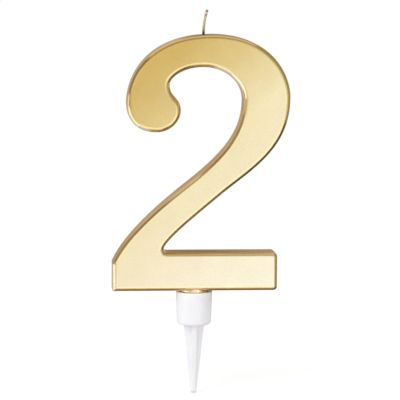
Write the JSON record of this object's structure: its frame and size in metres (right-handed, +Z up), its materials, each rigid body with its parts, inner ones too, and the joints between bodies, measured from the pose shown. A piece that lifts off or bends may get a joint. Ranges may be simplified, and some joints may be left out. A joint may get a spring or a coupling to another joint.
{
  "type": "number candle",
  "caption": "Flat moulded wax numeral candle with rounded edges and a short wick, standing by a peg in the cup of a push-in cake pick.",
  "frame": {"origin": "on the pick's axis at the underside of its cup, where the surface of the cake lies", "axes": "+Z up along the pick's axis, +X to the right of the figure as it reads, and the figure reads from the -Y side"},
  "size_m": [0.0505, 0.0104, 0.1103],
  "materials": {
    "gold_lacquered_wax": "satin gold metallic lacquer over paraffin wax",
    "cotton_wick": "braided cotton, stiffened with clear wax",
    "white_plastic": "white injection moulding, semi-gloss"
  },
  "bodies": {
    "pick": {"pick": "white_plastic"},
    "candle": {"wax_numeral": "gold_lacquered_wax", "wick": "cotton_wick"}
  },
  "joints": [
    {"name": "candle_lift", "type": "slide", "parent": "pick", "child": "candle", "axis": [0, 0, 1], "range_m": [0, 0.012]}
  ]
}
